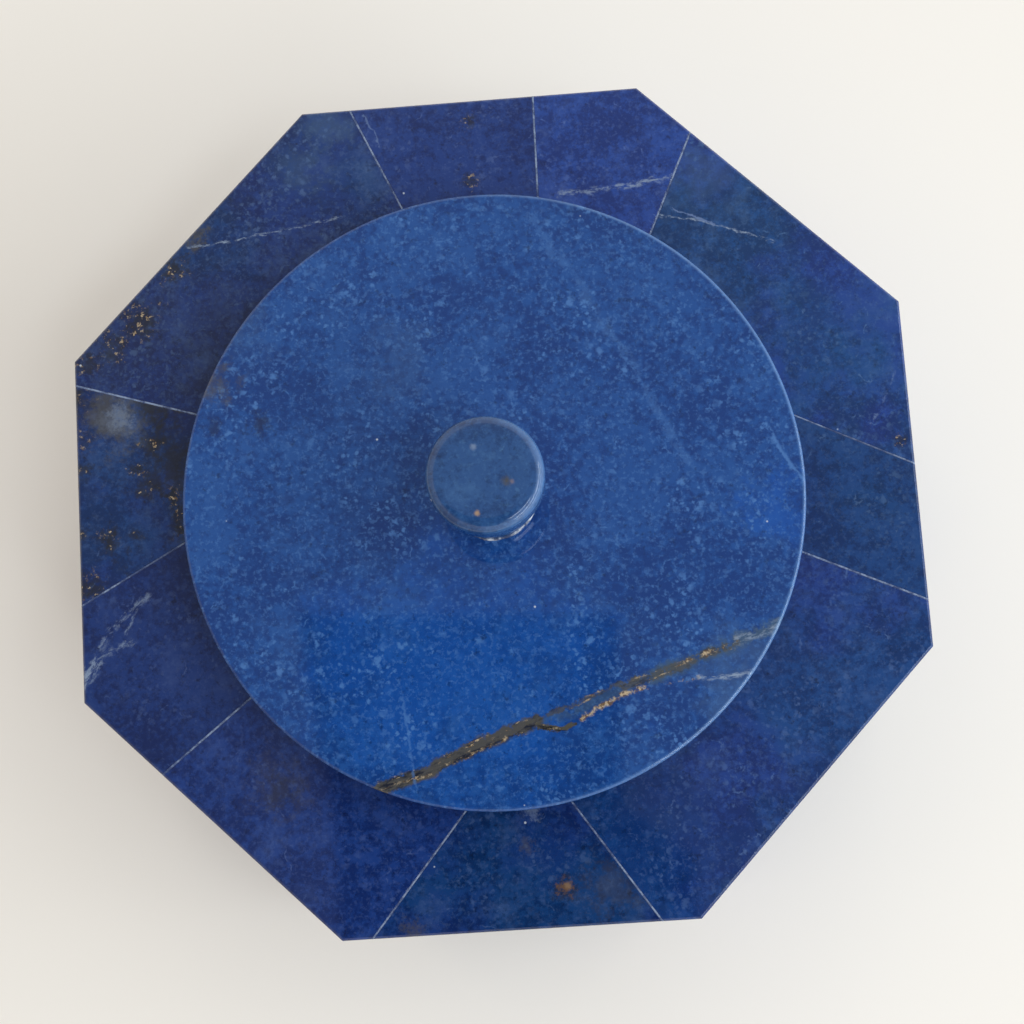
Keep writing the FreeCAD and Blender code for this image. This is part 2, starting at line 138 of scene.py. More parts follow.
class Shader:
    """A material's node tree, with its positions in millimetres in the shared frame."""

    def __init__(self, name):
        self.material = bpy.data.materials.new(name)
        self.material.use_nodes = True
        self.nodes = self.material.node_tree.nodes
        self.links = self.material.node_tree.links
        self.nodes.clear()
        place = self.nodes.new("ShaderNodeTexCoord").outputs["Object"]
        self.place = self.vector("SCALE", place, scale=1 / MM)

    def feed(self, socket, value):
        if isinstance(value, bpy.types.NodeSocket):
            self.links.new(value, socket)
            return
        if socket.type == "RGBA" and len(value) == 3:
            value = (*value, 1)
        socket.default_value = value

    def math(self, operation, a, b, clamp=False):
        node = self.nodes.new("ShaderNodeMath")
        node.operation = operation
        node.use_clamp = clamp
        self.feed(node.inputs[0], a)
        self.feed(node.inputs[1], b)
        return node.outputs[0]

    def times(self, a, b):
        return self.math("MULTIPLY", a, b)

    def vector(self, operation, a, b=None, scale=None):
        node = self.nodes.new("ShaderNodeVectorMath")
        node.operation = operation
        self.feed(node.inputs[0], a)
        if b is not None:
            self.feed(node.inputs[1], b)
        if scale is not None:
            self.feed(node.inputs["Scale"], scale)
        return node.outputs["Value" if operation in ("DOT_PRODUCT", "LENGTH") else "Vector"]

    def noise(self, place, size, detail=3.0, roughness=0.5, output="Fac"):
        """Noise whose largest features are about size millimetres across."""
        node = self.nodes.new("ShaderNodeTexNoise")
        self.feed(node.inputs["Vector"], place)
        node.inputs["Scale"].default_value = 1 / size
        node.inputs["Detail"].default_value = detail
        node.inputs["Roughness"].default_value = roughness
        return node.outputs[output]

    def cells(self, place, size, feature="F1"):
        """Distance to the nearest point, or to the nearest edge, of cells about size millimetres across."""
        node = self.nodes.new("ShaderNodeTexVoronoi")
        node.feature = feature
        self.feed(node.inputs["Vector"], place)
        node.inputs["Scale"].default_value = 1 / size
        return node.outputs["Distance"]

    def between(self, value, low, high):
        """0 below low, 1 above high and smooth between. Falls the other way if low is the larger."""
        node = self.nodes.new("ShaderNodeMapRange")
        node.interpolation_type = "SMOOTHSTEP"
        self.feed(node.inputs["Value"], value)
        flip = low > high
        node.inputs["From Min"].default_value = high if flip else low
        node.inputs["From Max"].default_value = low if flip else high
        node.inputs["To Min"].default_value = 1 if flip else 0
        node.inputs["To Max"].default_value = 0 if flip else 1
        return node.outputs["Result"]

    def mix(self, share, a, b):
        node = self.nodes.new("ShaderNodeMix")
        node.data_type = "RGBA"
        self.feed(node.inputs["Factor"], share)
        self.feed(node.inputs[6], a)
        self.feed(node.inputs[7], b)
        return node.outputs[2]

    def seeded(self, place, seed, step):
        """The place moved by the seed's number of steps."""
        return self.vector("ADD", place, tuple(seed * length for length in step))

    def shaken(self, place, noise_colour, amount):
        """The place moved by up to half the amount, in millimetres, the way a noise's colour says."""
        shift = self.vector("SUBTRACT", noise_colour, (0.5, 0.5, 0.5))
        return self.vector("ADD", place, self.vector("SCALE", shift, scale=amount))

    def wobbled(self, place, size, amount):
        """The place moved about, so that edges drawn from it aren't straight."""
        return self.shaken(place, self.noise(place, size, detail=4.0, roughness=0.6, output="Color"), amount)

    def drawn_out(self, place, bearing, share):
        """The place with distances along a bearing cut to a share, so that noise runs out into streaks."""
        along = (math.cos(bearing), math.sin(bearing), 0)
        reach = self.vector("DOT_PRODUCT", place, along)
        surplus = self.times(reach, 1 - share)
        return self.vector("SUBTRACT", place, self.vector("SCALE", along, scale=surplus))

    def flat(self, place):
        """The place in plan, with no height."""
        return self.vector("MULTIPLY", place, (1, 1, 0))

    def distance_to(self, point):
        """Distance in plan from a point."""
        return self.vector("LENGTH", self.vector("SUBTRACT", self.flat(self.place), (*point, 0)))

    def segment(self, place, start, end):
        """Distance in plan from a place to the straight line between two points."""
        along = Vector((*end, 0)) - Vector((*start, 0))
        from_start = self.vector("SUBTRACT", place, (*start, 0))
        reach = self.vector("DOT_PRODUCT", from_start, tuple(along / along.length_squared))
        reach = self.math("ADD", reach, 0, clamp=True)
        nearest = self.vector("SCALE", tuple(along), scale=reach)
        return self.vector("LENGTH", self.vector("SUBTRACT", from_start, nearest))

    def path(self, place, points):
        """Distance in plan from a place to a line through the points."""
        distance = None
        for start, end in zip(points, points[1:]):
            each = self.segment(place, start, end)
            distance = each if distance is None else self.math("MINIMUM", distance, each)
        return distance

    def finish(self, colour, roughness, metallic=0.0, height=None, bump=0.0, specular=0.5, sheen=0.0):
        """Ends the tree in one shader. bump is the depth in millimetres that a height of 1 stands for."""
        shader = self.nodes.new("ShaderNodeBsdfPrincipled")
        output = self.nodes.new("ShaderNodeOutputMaterial")
        self.feed(shader.inputs["Base Color"], colour)
        self.feed(shader.inputs["Roughness"], roughness)
        self.feed(shader.inputs["Metallic"], metallic)
        shader.inputs["Specular IOR Level"].default_value = specular
        shader.inputs["Sheen Weight"].default_value = sheen
        if height is not None:
            node = self.nodes.new("ShaderNodeBump")
            node.inputs["Strength"].default_value = 1
            node.inputs["Distance"].default_value = bump * MM
            self.links.new(height, node.inputs["Height"])
            self.links.new(node.outputs["Normal"], shader.inputs["Normal"])
        self.links.new(shader.outputs["BSDF"], output.inputs["Surface"])
        return self.material


# Materials


def lapis(
    name,
    tone,
    seed,
    second=None,
    gain=1.0,
    cloud=0.3,
    flecks=0.45,
    matrix=0.0,
    rim=None,
    veins=(),
    patches=(),
):
    """Polished lapis lazuli.

    tone picks the blues, gain how bright they are, and second the blues that they drift into. cloud, flecks
    and matrix say how much pale haze, pale spots and dark rock with pyrite in it there is, from 0 to 1. rim
    gives the inner radius, outer radius and strength of a painted highlight along the rim, strongest towards
    +X, and veins and patches are what draw_vein and draw_patch take, each as a dict.
    """
    shader = Shader(name)
    blues = blues_of(tone, gain)
    others = blues_of(second, gain) if second else None
    place = shader.seeded(shader.place, seed, STONE_STEP)
    grain = shader.noise(place, size=1.5, detail=5.0, roughness=0.78)

    colour = ground(shader, place, grain, blues, others)
    haze = shader.between(shader.noise(place, size=7, detail=7.0, roughness=0.76), 0.48, 0.74)
    colour = shader.mix(shader.times(haze, cloud), colour, blues["light"])
    for patch in patches:
        if patch["kind"] in BROAD_KINDS:
            colour, _ = draw_patch(shader, colour, None, place, **patch)
    colour = shader.mix(shader.times(pale_flecks(shader, place), flecks), colour, blues["light"])
    colour = shader.mix(shader.times(fine_cracks(shader, place), 0.6), colour, blues["light"])
    colour = shader.mix(shader.times(dark_flecks(shader, place), 0.75), colour, blues["dark"])

    gold = None
    if matrix:
        colour, gold = dark_rock(shader, colour, place, matrix)
    for patch in patches:
        if patch["kind"] not in BROAD_KINDS:
            colour, gold = draw_patch(shader, colour, gold, place, **patch)
    for vein in veins:
        colour, gold = draw_vein(shader, colour, gold, **vein)
    # A painted highlight along the rim, strongest on the +X side.
    if rim:
        colour = painted_rim_highlight(shader, colour, *rim)
    colour = shader.mix(shader.times(dust_specks(shader, place), 0.7), colour, DUST)

    roughness = shader.math("ADD", shader.times(grain, 0.06), 0.03)
    metallic = 0.0
    if gold:
        tarnish = shader.between(shader.noise(shader.place, size=0.5, roughness=0.6), 0.42, 0.56)
        colour = shader.mix(gold, colour, shader.mix(tarnish, PYRITE_DARK, PYRITE))
        roughness = shader.math("ADD", roughness, shader.times(gold, 0.25))
        metallic = shader.times(gold, 0.3)
    return shader.finish(colour, roughness, metallic, grain, bump=0.0005)


def blues_of(tone, gain):
    """A tone's colours, brighter by the gain."""
    return {shade: tuple(gain * channel for channel in colour) for shade, colour in TONES[tone].items()}


def ground(shader, place, grain, blues, others):
    """The stone's own blue, from deep to body. Where there are others, broad areas of it take those."""
    broad = shader.noise(shader.wobbled(place, size=6, amount=5), size=14, detail=2.0)
    shade = shader.math("ADD", shader.times(broad, 0.35), shader.times(grain, 0.65))
    shade = shader.between(shade, 0.435, 0.575)
    colour = shader.mix(shade, blues["deep"], blues["body"])
    if others is None:
        return colour
    drift = shader.between(shader.noise(place, size=24, detail=4.0, roughness=0.6), 0.42, 0.58)
    return shader.mix(drift, colour, shader.mix(shade, others["deep"], others["body"]))


def dark_flecks(shader, place):
    """Small ragged dark spots, placed by a noise of their own."""
    away = shader.vector("ADD", place, (91, 37, 53))
    return shader.between(shader.noise(away, size=1.2, detail=5.0, roughness=0.7), 0.56, 0.74)


def dust_specks(shader, place):
    """Tiny round white specks, far apart."""
    return shader.between(shader.cells(place, size=7.5), 0.028, 0.014)


def dark_rock(shader, colour, place, matrix):
    """Dark rock, the more of it the larger matrix is, with pyrite in the thick of it."""
    level = 0.12 * matrix
    rock = shader.noise(place, size=5, detail=7.0, roughness=0.68)
    gold = shader.between(rock, 0.66 - level, 0.74 - level)
    gold = shader.times(gold, pyrite_specks(shader, place))
    rock = shader.between(rock, 0.58 - level, 0.72 - level)
    rock = shader.times(rock, min(0.9, 1.4 * matrix))
    return shader.mix(rock, colour, DARK_MATRIX), gold


def painted_rim_highlight(shader, colour, inner, outer, strength):
    """A painted highlight on the rim of a round piece, from an inner to an outer radius, strongest towards
    +X.
    """
    reach = shader.vector("LENGTH", shader.flat(shader.place))
    across = shader.vector("DOT_PRODUCT", shader.place, (1, 0, 0))
    pale = shader.times(shader.between(reach, inner, outer), strength)
    pale = shader.times(pale, shader.between(across, -0.4 * outer, 0.8 * outer))
    return shader.mix(pale, colour, ARRIS_HIGHLIGHT_BLUE)


def pale_flecks(shader, place):
    """Small ragged spots, thick in some places and almost missing in others, over a faint speckle."""
    fine = shader.between(shader.cells(shader.wobbled(place, size=0.7, amount=1.2), size=1.1), 0.34, 0.12)
    coarse = shader.between(shader.cells(shader.wobbled(place, size=1.1, amount=2.2), size=2.3), 0.30, 0.12)
    speckle = shader.between(shader.noise(place, size=0.6, roughness=0.66), 0.52, 0.66)
    crowd = shader.between(shader.noise(place, size=10, detail=5.0, roughness=0.66), 0.42, 0.62)
    some = shader.times(shader.math("MAXIMUM", fine, coarse), crowd)
    return shader.math("MAXIMUM", some, shader.times(speckle, 0.45))


def fine_cracks(shader, place):
    """Short curled hairlines."""
    away = shader.vector("ADD", place, (17, 71, 29))
    line = shader.cells(shader.wobbled(away, size=3.0, amount=3.0), size=6.5, feature="DISTANCE_TO_EDGE")
    kept = shader.between(shader.noise(away, size=2.4, detail=4.0, roughness=0.7), 0.56, 0.66)
    return shader.times(shader.between(line, 0.024, 0.004), kept)


def pyrite_specks(shader, place):
    """Fine angular specks."""
    return shader.between(shader.noise(place, size=0.65, roughness=0.66), 0.56, 0.63)


def more_gold(shader, gold, mask):
    """The gold so far, if there is any, together with the mask."""
    return shader.math("MAXIMUM", gold, mask) if gold else mask


def draw_patch(shader, colour, gold, place, at, radius, kind, strength=1.0):
    """A ragged patch of another mineral or another blue round a point. Small patches are less ragged."""
    spread = 4.0 if radius > 1 else 1.6
    ragged = shader.noise(place, size=max(0.8, radius * 0.6), detail=6.0, roughness=0.78)
    near = shader.math("DIVIDE", shader.distance_to(at), radius)
    edge = shader.math("ADD", near, shader.times(ragged, spread))
    mask = shader.times(shader.between(edge, spread / 2 + 1, spread / 2 + 0.1), strength)
    if kind == "gold":
        inner = shader.times(mask, pyrite_specks(shader, place))
        colour = shader.mix(shader.times(mask, 0.8), colour, DARK_MATRIX)
        return colour, more_gold(shader, gold, inner)
    return shader.mix(mask, colour, PATCH_COLOURS[kind]), gold


def draw_vein(
    shader, colour, gold, points, width, kind="hairline", strength=1.0, wobble=1.0, broken=0.3, seed=0
):
    """A line of another mineral along the points, about width millimetres wide.

    broken is the share of it that is missing. An ore vein is dark, with streaks of grey-green rock and gold
    inside, and a calcite vein is a bundle of fine pale strands.
    """
    place = shader.seeded(shader.place, seed, VEIN_STEP)
    run = math.atan2(points[-1][1] - points[0][1], points[-1][0] - points[0][0])
    streaked = shader.drawn_out(place, run, 0.3)
    wander = shader.noise(place, size=3.2, detail=5.0, roughness=0.74, output="Color")
    moved = shader.shaken(shader.place, wander, 2 * wobble)
    distance = shader.path(shader.flat(moved), points)
    breaks = shader.noise(place, size=1.6, detail=6.0, roughness=0.78)
    swell = shader.between(breaks, 0.10 + 0.5 * broken, 0.60 + 0.3 * broken)
    reach = shader.math("DIVIDE", distance, shader.math("ADD", 0.05, shader.times(swell, width)))
    kept = shader.between(breaks, 0.20 + 0.5 * broken, 0.36 + 0.5 * broken)
    mask = shader.times(shader.between(reach, 0.8, 0.4 if kind == "ore" else 0.1), kept)
    mask = shader.times(mask, strength)
    if kind == "gold":
        return colour, more_gold(shader, gold, mask)
    if kind == "ore":
        rock = shader.between(shader.noise(streaked, size=0.8, detail=5.0, roughness=0.74), 0.38, 0.54)
        away = shader.vector("ADD", streaked, (5, 3, 9))
        flakes = shader.between(shader.noise(away, size=0.5, detail=4.0, roughness=0.7), 0.58, 0.68)
        colour = shader.mix(mask, colour, shader.mix(rock, DARK_MATRIX, ORE))
        return colour, more_gold(shader, gold, shader.times(flakes, mask))
    if kind == "calcite":
        strands = shader.noise(streaked, size=0.45, detail=4.0, roughness=0.7)
        mask = shader.times(mask, shader.between(strands, 0.40, 0.60))
    return shader.mix(mask, colour, VEIN_COLOURS[kind]), gold


def cement():
    """White cement, stained blue by the polishing, most of all round a few worn places."""
    shader = Shader("seam_cement")
    worn_places = [((51, 4), 7), ((-37, -39), 12), ((54, -9), 6), ((-48, -5), 6)]
    stain = shader.noise(shader.place, size=3, detail=6.0, roughness=0.8)
    colour = shader.mix(shader.between(stain, 0.39, 0.55), STAINED_CEMENT, CEMENT)
    breaks = shader.between(shader.noise(shader.place, size=0.9, detail=4.0, roughness=0.7), 0.54, 0.40)
    colour = shader.mix(shader.times(breaks, 0.6), colour, STAINED_CEMENT)
    for centre, radius in worn_places:
        worn = shader.times(shader.between(shader.distance_to(centre), radius, radius / 2), 0.6)
        colour = shader.mix(worn, colour, STAINED_CEMENT)
    grit = shader.noise(shader.place, size=0.3, detail=2.0)
    return shader.finish(colour, 0.6, height=grit, bump=0.03)


def bead_cement():
    """The same cement left rough, with blue dirt in its hollows."""
    shader = Shader("knob_cement")
    stain = shader.between(shader.noise(shader.place, size=2.2, detail=6.0, roughness=0.76), 0.40, 0.58)
    colour = shader.mix(stain, BEAD_DARK, BEAD_LIGHT)
    return shader.finish(colour, 0.5, height=shader.noise(shader.place, size=0.4, roughness=0.6), bump=0.06)


def wood(name, bearing, seed):
    """Plain brown wood with its grain along a bearing in plan, in degrees."""
    shader = Shader(name)
    angle = math.radians(bearing)
    along = shader.vector("DOT_PRODUCT", shader.place, (math.cos(angle), math.sin(angle), 0))
    across = shader.vector("DOT_PRODUCT", shader.place, (-math.sin(angle), math.cos(angle), 0))
    up = shader.vector("DOT_PRODUCT", shader.place, (0, 0, 1))
    join = shader.nodes.new("ShaderNodeCombineXYZ")
    shader.feed(join.inputs["X"], shader.times(along, 0.05))
    shader.feed(join.inputs["Y"], across)
    shader.feed(join.inputs["Z"], up)
    place = shader.seeded(join.outputs["Vector"], seed, WOOD_STEP)
    rings = shader.noise(place, size=2.8, detail=4.0, roughness=0.55)
    fibre = shader.noise(place, size=0.35, roughness=0.6)
    pores = shader.between(shader.noise(place, size=0.22, detail=1.0), 0.66, 0.74)
    tone = shader.math("ADD", shader.times(rings, 0.75), shader.times(fibre, 0.25))
    colour = shader.mix(shader.between(tone, 0.36, 0.64), WOOD_DARK, WOOD_LIGHT)
    colour = shader.mix(shader.times(pores, 0.6), colour, WOOD_DARK)
    roughness = shader.math("ADD", 0.42, shader.times(fibre, 0.2))
    height = shader.math("SUBTRACT", fibre, pores)
    return shader.finish(colour, roughness, height=height, bump=0.04)


def felt():
    shader = Shader("felt")
    place = shader.wobbled(shader.place, size=1.2, amount=1.5)
    fibres = shader.noise(place, size=0.35, detail=6.0, roughness=0.7)
    bald = shader.between(shader.noise(shader.place, size=11, roughness=0.6), 0.5, 0.8)
    colour = shader.mix(fibres, FELT_DARK, FELT_LIGHT)
    colour = shader.mix(shader.times(bald, 0.3), colour, FELT_WORN)
    return shader.finish(colour, 0.95, height=fibres, bump=0.25, specular=0.1, sheen=0.4)


def brass():
    shader = Shader("brass")
    tarnish = shader.noise(shader.place, size=1.5, detail=5.0, roughness=0.6)
    colour = shader.mix(tarnish, BRASS_DARK, BRASS_LIGHT)
    roughness = shader.math("ADD", 0.22, shader.times(tarnish, 0.25))
    return shader.finish(colour, roughness, 1.0, height=tarnish, bump=0.01)


# Shapes


def new_piece(name, shape, material, node, smooth_below=30):
    """Ends a shape as a shown piece that stands for a CAD node and moves with its body.

    smooth_below is the angle in degrees under which the shading runs on across an edge.
    """
    mesh = bpy.data.meshes.new(name)
    shape.to_mesh(mesh)
    shape.free()
    mesh.shade_smooth()
    mesh.set_sharp_from_angle(angle=math.radians(smooth_below))
    mesh.materials.append(material)
    piece = bpy.data.objects.new(name, mesh)
    bpy.context.scene.collection.objects.link(piece)
    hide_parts(node)
    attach(piece, BODY_OF[node])
    return piece


def keep_flats_flat(piece):
    """Lets the large faces set the normals, so that a polished flat reflects as a flat."""
    level = piece.modifiers.new("level", "WEIGHTED_NORMAL")
    level.mode = "FACE_AREA"
    level.weight = 100
    level.keep_sharp = True


def solid_of(node):
    """The CAD node's mesh with its flat faces whole again."""
    weld = 0.001 * MM
    flat_angle = math.radians(0.5)
    shape = bmesh.new()
    shape.from_mesh(NODES[node].data)
    bmesh.ops.remove_doubles(shape, verts=shape.verts, dist=weld)
    bmesh.ops.dissolve_limit(shape, angle_limit=flat_angle, verts=shape.verts, edges=shape.edges)
    return shape


def round_over(shape, edges, width, segments=3):
    """Rounds edges over by a width in millimetres."""
    bmesh.ops.bevel(
        shape,
        geom=edges,
        offset=width * MM,
        segments=segments,
        profile=0.5,
        affect="EDGES",
        clamp_overlap=True,
    )


def eased(node, material, width, segments=3):
    """The node with every hard edge rounded over by a width in millimetres."""
    hard_angle = math.radians(25)
    shape = solid_of(node)
    inner_edges = [edge for edge in shape.edges if len(edge.link_faces) == 2]
    hard_edges = [edge for edge in inner_edges if edge.calc_face_angle() > hard_angle]
    round_over(shape, hard_edges, width, segments)
    keep_flats_flat(new_piece(f"{node}_eased", shape, material, node, smooth_below=80))


def polar(radius, angle, height):
    """A point in metres, from a radius and a height in millimetres and an angle in radians."""
    return radius * MM * math.cos(angle), radius * MM * math.sin(angle), height * MM


def join_rings(shape, rings):
    """Skins closed rings of points, each to the next and the last to the first."""
    count = len(rings[0])
    for first, second in zip(rings, rings[1:] + rings[:1]):
        for index in range(count):
            after = (index + 1) % count
            shape.faces.new((first[index], first[after], second[after], second[index]))
    bmesh.ops.recalc_face_normals(shape, faces=shape.faces)


def turned(name, node, outline, material, steps, waver=0.0):
    """A closed outline of (radius, height) points in millimetres, turned about +Z.

    waver is how far off round it is, in millimetres, everywhere outside the pin hole.
    """
    waver_round, waver_up = 1.3, 0.11
    shape = bmesh.new()
    rings = []
    for radius, height in outline:
        ring = []
        for step in range(steps):
            angle = 2 * math.pi * step / steps
            reach = radius
            if radius > PIN_HOLE:
                across, along = math.cos(angle) * waver_round, math.sin(angle) * waver_round
                reach += waver * (noise.noise(Vector((across, along, height * waver_up))) - 1)
            ring.append(shape.verts.new(polar(reach, angle, height)))
        rings.append(ring)
    join_rings(shape, rings)
    keep_flats_flat(new_piece(name, shape, material, node))


def round_corner(centre, radius, start, end, steps=6):
    """Points along an arc of the outline, from one angle to another in degrees."""
    points = []
    for step in range(steps + 1):
        angle = math.radians(start + (end - start) * step / steps)
        points.append((centre[0] + radius * math.cos(angle), centre[1] + radius * math.sin(angle)))
    return points


def size_of(node):
    """(outer radius, lowest z, highest z) of a round node, in millimetres."""
    low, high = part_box(node)
    return (high[0] - low[0]) / 2 / MM, low[2] / MM, high[2] / MM


# Sizes of the turned pieces, in millimetres.
PIN_CLEARANCE = 0.1
PIN_RADIUS, _, PIN_TOP = size_of("knob_pin")
PIN_HOLE = PIN_RADIUS + PIN_CLEARANCE
LID_RADIUS, LID_FOOT, LID_TOP = size_of("lid_disc")
CAP_RADIUS, KNOB_FOOT, KNOB_TOP = size_of("lid_knob")
BEAD_RADIUS, _, BEAD_TOP = size_of("knob_cement")
BEAD_WIDTH = 0.5
FOOT_RADIUS = BEAD_RADIUS - BEAD_WIDTH


def make_lid_disc(material):
    arris = 0.45
    outline = [(PIN_HOLE, LID_FOOT)]
    outline += round_corner((LID_RADIUS - arris, LID_FOOT + arris), arris, -90, 0)
    outline += round_corner((LID_RADIUS - arris, LID_TOP - arris), arris, 0, 90)
    outline.append((PIN_HOLE, LID_TOP))
    turned("lid_disc_stone", "lid_disc", outline, material, steps=256)


def make_knob(material):
    """Foot, hollow waist, cap with a rounded rim, and the blind hole for the pin.

    Sizes are in millimetres, and rim_end, where the rim's arc runs out into the flat top, is in degrees. The
    outline stops axis_gap short of the axis, so that its points don't fall together there.
    """
    rim = 1.4
    rim_end = 82
    run_out = 0.9
    cap_edge = 4.4
    waist_dip = 1.04
    waist_steps = 16
    axis_gap = 0.02
    cap_foot = KNOB_TOP - cap_edge
    hole_top = PIN_TOP + PIN_CLEARANCE
    outline = [(PIN_HOLE, KNOB_FOOT)]
    for step in range(waist_steps + 1):
        share = step / waist_steps
        height = KNOB_FOOT + (cap_foot - KNOB_FOOT) * share
        straight = FOOT_RADIUS + (CAP_RADIUS - FOOT_RADIUS) * share
        outline.append((straight - 4 * waist_dip * share * (1 - share), height))
    outline += round_corner((CAP_RADIUS - rim, KNOB_TOP - rim), rim, 0, rim_end, steps=10)
    outline.append((CAP_RADIUS - rim - run_out, KNOB_TOP))
    outline += [(axis_gap, KNOB_TOP), (axis_gap, hole_top), (PIN_HOLE, hole_top)]
    turned("lid_knob_stone", "lid_knob", outline, material, steps=128, waver=0.06)


def make_knob_cement(material):
    """An uneven bead, squeezed out wider and higher in some places than in others.

    Its inner side is tuck millimetres inside the knob's foot.
    """
    steps = 160
    arc_points = 8
    tuck = 0.12
    swell_usual, swell_change, noise_radius = 0.5, 0.4, 4
    extra_height = 0.2
    inner = FOOT_RADIUS - tuck
    shape = bmesh.new()
    rings = []
    for step in range(steps):
        angle = 2 * math.pi * step / steps
        spot = Vector((math.cos(angle) * noise_radius, math.sin(angle) * noise_radius, 0))
        swell = swell_usual + swell_change * noise.noise(spot)
        width = (BEAD_WIDTH + tuck) * swell
        height = (BEAD_TOP - LID_TOP) * min(1, swell + extra_height)
        outline = []
        for index in range(arc_points):
            turn = math.pi / 2 * index / (arc_points - 1)
            outline.append((inner + width * math.cos(turn), LID_TOP + height * math.sin(turn)))
        outline.append((inner, LID_TOP))
        rings.append([shape.verts.new(polar(radius, angle, rise)) for radius, rise in outline])
    join_rings(shape, rings)
    new_piece("knob_cement_bead", shape, material, "knob_cement")


def is_level(edge):
    """Whether both ends of an edge are at one height."""
    return abs(edge.verts[0].co.z - edge.verts[1].co.z) < 0.1 * MM


def make_felt(material):
    """The felt sheet, cut by hand, so its edge wanders a little."""
    cuts = 24
    most_trimmed = 0.25
    wander = 0.35
    soft_edge = 0.3
    rim_angle = math.radians(60)
    shape = solid_of("base_felt")
    sides = [edge for edge in shape.edges if is_level(edge)]
    bmesh.ops.subdivide_edges(shape, edges=sides, cuts=cuts)
    for vert in shape.verts:
        spot = Vector((vert.co.x, vert.co.y, 0)) / MM
        trim = most_trimmed * (0.5 + 0.5 * noise.noise(spot * wander)) * MM
        vert.co.xy -= vert.co.xy.normalized() * trim
    rims = [edge for edge in shape.edges if edge.calc_face_angle(0) > rim_angle and is_level(edge)]
    round_over(shape, rims, soft_edge)
    piece = new_piece("base_felt_sheet", shape, material, "base_felt")


# The stones. Places are in millimetres in plan.

LID_STONE = {
    "tone": "mid",
    "seed": 1,
    "cloud": 0.15,
    "flecks": 0.85,
    # rim: a painted highlight on the lid's rounded arris, strongest towards +X.
    "rim": (41.5, 42.0, 0.45),
    "patches": [
        # The broad royal patch over the front of the lid is partly the stone's own blue and partly a painted
        # reflection: the richer blue where a dark thing held above the lid is mirrored.
        {"at": (-8, -25), "radius": 22.0, "kind": "royal", "strength": 0.5},
        {"at": (38, -4), "radius": 7.0, "kind": "royal", "strength": 0.6},
        {"at": (-14, -2), "radius": 9.0, "kind": "deep", "strength": 0.55},
        {"at": (-31, 12), "radius": 2.4, "kind": "dark", "strength": 0.5},
        {"at": (-37.5, 12), "radius": 1.8, "kind": "dark", "strength": 0.4},
        {"at": (-37, 18), "radius": 3.6, "kind": "ore", "strength": 0.6},
        {"at": (-34, 25), "radius": 7.0, "kind": "teal", "strength": 0.3},
        {"at": (31, -27), "radius": 8.0, "kind": "teal", "strength": 0.4},
        {"at": (-12, 20), "radius": 7.0, "kind": "teal", "strength": 0.2},
    ],
    "veins": [
        {"points": [(5, -30.8), (10, -29.4), (16, -27), (22, -24.8)], "width": 2.0, "kind": "grey",
         "strength": 0.5, "wobble": 0.9, "broken": 0.2},
        {"points": [(20, -26), (26, -23.7), (33, -21.3), (38, -19.8)], "width": 2.4, "kind": "grey",
         "strength": 0.7, "wobble": 0.9, "broken": 0.2},
        {"points": [(-17.5, -38.3), (-10.5, -36.3), (-3.5, -33.2), (4, -30.6)], "width": 1.7, "kind": "ore",
         "strength": 0.95, "wobble": 0.8, "broken": 0.05},
        {"points": [(3, -30.8), (8, -29.2), (14, -27), (18, -25.8)], "width": 0.9, "kind": "ore",
         "strength": 0.7, "wobble": 0.6, "broken": 0.4},
        {"points": [(16, -26.8), (22, -25.2), (27, -23.2), (31, -22)], "width": 1.3, "kind": "ore",
         "strength": 0.7, "wobble": 0.7, "broken": 0.3},
        {"points": [(-17, -38), (-12, -37.2), (-7, -35.6), (-3, -33.8), (2, -31.8)], "width": 0.6,
         "kind": "gold", "broken": 0.6},
        {"points": [(-17, -37), (-12, -36), (-7, -34), (-1, -31.5)], "width": 0.5, "kind": "gold",
         "broken": 0.65, "seed": 6},
        {"points": [(4, -31.3), (7, -31.9), (9, -31.5)], "width": 0.7, "kind": "ore", "broken": 0.2},
        {"points": [(10, -30.8), (13, -29.2), (15.5, -27.9), (19, -27.4)], "width": 0.75, "kind": "gold",
         "broken": 0.4},
        {"points": [(24, -24.2), (27.5, -23), (30, -22.2)], "width": 0.8, "kind": "gold", "strength": 0.9,
         "broken": 0.45},
        {"points": [(20, -27.3), (23, -26.6), (26, -26.3)], "width": 0.9, "kind": "gold", "strength": 0.7,
         "broken": 0.6},
        {"points": [(26, -26.3), (29.5, -26.5), (34, -26)], "width": 0.8, "kind": "calcite", "strength": 0.9,
         "wobble": 0.5, "broken": 0.2},
        {"points": [(31, -22), (38, -19.8)], "width": 1.4, "kind": "calcite", "strength": 0.7, "broken": 0.2},
        {"points": [(8, 38), (14, 28), (21, 14.5), (27, 2)], "width": 2.0, "kind": "mist", "strength": 0.3,
         "wobble": 1.5, "broken": 0.35},
        {"points": [(37.5, 7), (39.5, 3), (41.7, -1)], "width": 0.7, "kind": "mist", "strength": 0.8},
        {"points": [(-14, -24), (-13, -31.5), (-12.5, -38.5)], "width": 0.5, "kind": "mist", "strength": 0.5},
    ],
}

